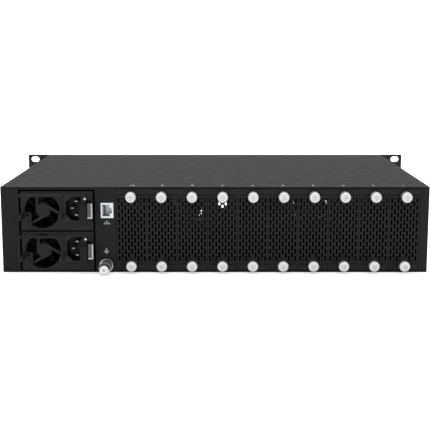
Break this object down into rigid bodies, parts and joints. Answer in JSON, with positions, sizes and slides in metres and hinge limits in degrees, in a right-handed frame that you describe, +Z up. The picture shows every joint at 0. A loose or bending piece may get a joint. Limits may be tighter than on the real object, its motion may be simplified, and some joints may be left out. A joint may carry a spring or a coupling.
{
  "type": "modular rack chassis",
  "caption": "Low rack-mount chassis with card slots closed by perforated filler panels on captive thumbscrews, and hot-swap power modules with pull handles.",
  "frame": {"origin": "middle of the body's underside", "axes": "+X along the rack's width, to the right when the rear face is looked at; -Y out of the rear face, +Y toward the rack ears; +Z up"},
  "size_m": [0.4826, 0.3096, 0.0881],
  "materials": {
    "tray_black": "satin powder coat",
    "cover_black": "satin powder coat",
    "frame_black": "satin powder coat",
    "ear_black": "satin powder coat",
    "screw_steel": "zinc plated",
    "cage_steel": "zinc plated sheet",
    "guide_plastic": "matte",
    "board_green": "solder mask",
    "connector_plastic": "matte",
    "jack_shield": "nickel plated",
    "post_metal": "nickel plated",
    "fan_plastic": "matte",
    "rotor_plastic": "semi-gloss",
    "module_black": "satin powder coat",
    "inlet_plastic": "matte",
    "handle_metal": "satin",
    "latch_steel": "bright spring steel with a black thumb pad",
    "panel_black": "satin powder coat",
    "thumbscrew_metal": "satin nickel"
  },
  "bodies": {
    "chassis": {"base_tray": "tray_black", "top_cover": "cover_black", "rear_frame": "frame_black", "front_panel": "frame_black", "rack_ear_left": "ear_black", "rack_ear_right": "ear_black", "case_screws": "screw_steel", "psu_cage": "cage_steel", "card_guides": "guide_plastic", "backplane": "board_green", "backplane_connectors": "connector_plastic", "management_board": "board_green", "eth_jack": "jack_shield", "ground_stud": "post_metal", "cooling_fan_frames": "fan_plastic"},
    "psu_1": {"psu_1_case": "module_black", "psu_1_fan_frame": "fan_plastic", "psu_1_inlet": "inlet_plastic"},
    "psu_2": {"psu_2_case": "module_black", "psu_2_fan_frame": "fan_plastic", "psu_2_inlet": "inlet_plastic"},
    "psu_1_latch_body": {"psu_1_latch": "latch_steel"},
    "psu_1_handle_body": {"psu_1_handle": "handle_metal"},
    "psu_2_latch_body": {"psu_2_latch": "latch_steel"},
    "psu_2_handle_body": {"psu_2_handle": "handle_metal"},
    "filler_01": {"filler_panel_01": "panel_black"},
    "filler_02": {"filler_panel_02": "panel_black"},
    "filler_03": {"filler_panel_03": "panel_black"},
    "filler_04": {"filler_panel_04": "panel_black"},
    "filler_05": {"filler_panel_05": "panel_black"},
    "filler_06": {"filler_panel_06": "panel_black"},
    "filler_07": {"filler_panel_07": "panel_black"},
    "filler_08": {"filler_panel_08": "panel_black"},
    "filler_09": {"filler_panel_09": "panel_black"},
    "filler_10": {"filler_panel_10": "panel_black"},
    "screw_01_top": {"thumbscrew_01_top": "thumbscrew_metal"},
    "screw_01_low": {"thumbscrew_01_low": "thumbscrew_metal"},
    "screw_02_top": {"thumbscrew_02_top": "thumbscrew_metal"},
    "screw_02_low": {"thumbscrew_02_low": "thumbscrew_metal"},
    "screw_03_top": {"thumbscrew_03_top": "thumbscrew_metal"},
    "screw_03_low": {"thumbscrew_03_low": "thumbscrew_metal"},
    "screw_04_top": {"thumbscrew_04_top": "thumbscrew_metal"},
    "screw_04_low": {"thumbscrew_04_low": "thumbscrew_metal"},
    "screw_05_top": {"thumbscrew_05_top": "thumbscrew_metal"},
    "screw_05_low": {"thumbscrew_05_low": "thumbscrew_metal"},
    "screw_06_top": {"thumbscrew_06_top": "thumbscrew_metal"},
    "screw_06_low": {"thumbscrew_06_low": "thumbscrew_metal"},
    "screw_07_top": {"thumbscrew_07_top": "thumbscrew_metal"},
    "screw_07_low": {"thumbscrew_07_low": "thumbscrew_metal"},
    "screw_08_top": {"thumbscrew_08_top": "thumbscrew_metal"},
    "screw_08_low": {"thumbscrew_08_low": "thumbscrew_metal"},
    "screw_09_top": {"thumbscrew_09_top": "thumbscrew_metal"},
    "screw_09_low": {"thumbscrew_09_low": "thumbscrew_metal"},
    "screw_10_top": {"thumbscrew_10_top": "thumbscrew_metal"},
    "screw_10_low": {"thumbscrew_10_low": "thumbscrew_metal"},
    "ground_nut_body": {"ground_nut": "post_metal"},
    "psu_1_rotor_body": {"psu_1_fan_rotor": "rotor_plastic"},
    "psu_2_rotor_body": {"psu_2_fan_rotor": "rotor_plastic"},
    "cooling_rotor_1_body": {"cooling_fan_rotor_1": "rotor_plastic"},
    "cooling_rotor_2_body": {"cooling_fan_rotor_2": "rotor_plastic"}
  },
  "joints": [
    {"name": "psu_1_slide", "type": "slide", "parent": "chassis", "child": "psu_1", "axis": [0, -1, 0], "range_m": [0, 0.185]},
    {"name": "psu_2_slide", "type": "slide", "parent": "chassis", "child": "psu_2", "axis": [0, -1, 0], "range_m": [0, 0.185]},
    {"name": "psu_1_latch_press", "type": "hinge", "parent": "psu_1", "child": "psu_1_latch_body", "pos_m": [-0.1261, -0.1215, 0.065], "axis": [0, 0, -1], "range_deg": [0, 5], "stiffness_Nm_per_rad": 1},
    {"name": "psu_1_handle_fold", "type": "hinge", "parent": "psu_1", "child": "psu_1_handle_body", "pos_m": [-0.17355, -0.158, 0.0587], "axis": [1, 0, 0], "range_deg": [0, 90]},
    {"name": "psu_2_latch_press", "type": "hinge", "parent": "psu_2", "child": "psu_2_latch_body", "pos_m": [-0.1261, -0.1215, 0.0237], "axis": [0, 0, -1], "range_deg": [0, 5], "stiffness_Nm_per_rad": 1},
    {"name": "psu_2_handle_fold", "type": "hinge", "parent": "psu_2", "child": "psu_2_handle_body", "pos_m": [-0.17355, -0.158, 0.0174], "axis": [1, 0, 0], "range_deg": [0, 90]},
    {"name": "ground_nut_turn", "type": "hinge", "parent": "chassis", "child": "ground_nut_body", "pos_m": [-0.1102, -0.15, 0.0072], "axis": [0, 1, 0], "continuous": true},
    {"name": "psu_1_fan_spin", "type": "hinge", "parent": "psu_1", "child": "psu_1_rotor_body", "pos_m": [-0.1738, -0.135, 0.0632], "axis": [0, 1, 0], "continuous": true},
    {"name": "psu_2_fan_spin", "type": "hinge", "parent": "psu_2", "child": "psu_2_rotor_body", "pos_m": [-0.1738, -0.135, 0.0219], "axis": [0, 1, 0], "continuous": true},
    {"name": "cooling_fan_1_spin", "type": "hinge", "parent": "chassis", "child": "cooling_rotor_1_body", "pos_m": [-0.0167, 0.127, 0.04375], "axis": [0, 1, 0], "continuous": true},
    {"name": "cooling_fan_2_spin", "type": "hinge", "parent": "chassis", "child": "cooling_rotor_2_body", "pos_m": [0.1233, 0.127, 0.04375], "axis": [0, 1, 0], "continuous": true},
    {"name": "filler_01_pull", "type": "slide", "parent": "chassis", "child": "filler_01", "axis": [0, -1, 0], "range_m": [0, 0.04]},
    {"name": "filler_02_pull", "type": "slide", "parent": "chassis", "child": "filler_02", "axis": [0, -1, 0], "range_m": [0, 0.04]},
    {"name": "filler_03_pull", "type": "slide", "parent": "chassis", "child": "filler_03", "axis": [0, -1, 0], "range_m": [0, 0.04]},
    {"name": "filler_04_pull", "type": "slide", "parent": "chassis", "child": "filler_04", "axis": [0, -1, 0], "range_m": [0, 0.04]},
    {"name": "filler_05_pull", "type": "slide", "parent": "chassis", "child": "filler_05", "axis": [0, -1, 0], "range_m": [0, 0.04]},
    {"name": "filler_06_pull", "type": "slide", "parent": "chassis", "child": "filler_06", "axis": [0, -1, 0], "range_m": [0, 0.04]},
    {"name": "filler_07_pull", "type": "slide", "parent": "chassis", "child": "filler_07", "axis": [0, -1, 0], "range_m": [0, 0.04]},
    {"name": "filler_08_pull", "type": "slide", "parent": "chassis", "child": "filler_08", "axis": [0, -1, 0], "range_m": [0, 0.04]},
    {"name": "filler_09_pull", "type": "slide", "parent": "chassis", "child": "filler_09", "axis": [0, -1, 0], "range_m": [0, 0.04]},
    {"name": "filler_10_pull", "type": "slide", "parent": "chassis", "child": "filler_10", "axis": [0, -1, 0], "range_m": [0, 0.04]},
    {"name": "thumbscrew_01_top_turn", "type": "hinge", "parent": "filler_01", "child": "screw_01_top", "pos_m": [0.19046, -0.1435, 0.0784], "axis": [0, 1, 0], "continuous": true},
    {"name": "thumbscrew_01_low_turn", "type": "hinge", "parent": "filler_01", "child": "screw_01_low", "pos_m": [0.19046, -0.1435, 0.0084], "axis": [0, 1, 0], "continuous": true},
    {"name": "thumbscrew_02_top_turn", "type": "hinge", "parent": "filler_02", "child": "screw_02_top", "pos_m": [0.15998, -0.1435, 0.0784], "axis": [0, 1, 0], "continuous": true},
    {"name": "thumbscrew_02_low_turn", "type": "hinge", "parent": "filler_02", "child": "screw_02_low", "pos_m": [0.15998, -0.1435, 0.0084], "axis": [0, 1, 0], "continuous": true},
    {"name": "thumbscrew_03_top_turn", "type": "hinge", "parent": "filler_03", "child": "screw_03_top", "pos_m": [0.1295, -0.1435, 0.0784], "axis": [0, 1, 0], "continuous": true},
    {"name": "thumbscrew_03_low_turn", "type": "hinge", "parent": "filler_03", "child": "screw_03_low", "pos_m": [0.1295, -0.1435, 0.0084], "axis": [0, 1, 0], "continuous": true},
    {"name": "thumbscrew_04_top_turn", "type": "hinge", "parent": "filler_04", "child": "screw_04_top", "pos_m": [0.09902, -0.1435, 0.0784], "axis": [0, 1, 0], "continuous": true},
    {"name": "thumbscrew_04_low_turn", "type": "hinge", "parent": "filler_04", "child": "screw_04_low", "pos_m": [0.09902, -0.1435, 0.0084], "axis": [0, 1, 0], "continuous": true},
    {"name": "thumbscrew_05_top_turn", "type": "hinge", "parent": "filler_05", "child": "screw_05_top", "pos_m": [0.06854, -0.1435, 0.0784], "axis": [0, 1, 0], "continuous": true},
    {"name": "thumbscrew_05_low_turn", "type": "hinge", "parent": "filler_05", "child": "screw_05_low", "pos_m": [0.06854, -0.1435, 0.0084], "axis": [0, 1, 0], "continuous": true},
    {"name": "thumbscrew_06_top_turn", "type": "hinge", "parent": "filler_06", "child": "screw_06_top", "pos_m": [0.03806, -0.1435, 0.0784], "axis": [0, 1, 0], "continuous": true},
    {"name": "thumbscrew_06_low_turn", "type": "hinge", "parent": "filler_06", "child": "screw_06_low", "pos_m": [0.03806, -0.1435, 0.0084], "axis": [0, 1, 0], "continuous": true},
    {"name": "thumbscrew_07_top_turn", "type": "hinge", "parent": "filler_07", "child": "screw_07_top", "pos_m": [0.00758, -0.1435, 0.0784], "axis": [0, 1, 0], "continuous": true},
    {"name": "thumbscrew_07_low_turn", "type": "hinge", "parent": "filler_07", "child": "screw_07_low", "pos_m": [0.00758, -0.1435, 0.0084], "axis": [0, 1, 0], "continuous": true},
    {"name": "thumbscrew_08_top_turn", "type": "hinge", "parent": "filler_08", "child": "screw_08_top", "pos_m": [-0.0229, -0.1435, 0.0784], "axis": [0, 1, 0], "continuous": true},
    {"name": "thumbscrew_08_low_turn", "type": "hinge", "parent": "filler_08", "child": "screw_08_low", "pos_m": [-0.0229, -0.1435, 0.0084], "axis": [0, 1, 0], "continuous": true},
    {"name": "thumbscrew_09_top_turn", "type": "hinge", "parent": "filler_09", "child": "screw_09_top", "pos_m": [-0.05338, -0.1435, 0.0784], "axis": [0, 1, 0], "continuous": true},
    {"name": "thumbscrew_09_low_turn", "type": "hinge", "parent": "filler_09", "child": "screw_09_low", "pos_m": [-0.05338, -0.1435, 0.0084], "axis": [0, 1, 0], "continuous": true},
    {"name": "thumbscrew_10_top_turn", "type": "hinge", "parent": "filler_10", "child": "screw_10_top", "pos_m": [-0.08386, -0.1435, 0.0784], "axis": [0, 1, 0], "continuous": true},
    {"name": "thumbscrew_10_low_turn", "type": "hinge", "parent": "filler_10", "child": "screw_10_low", "pos_m": [-0.08386, -0.1435, 0.0084], "axis": [0, 1, 0], "continuous": true}
  ]
}
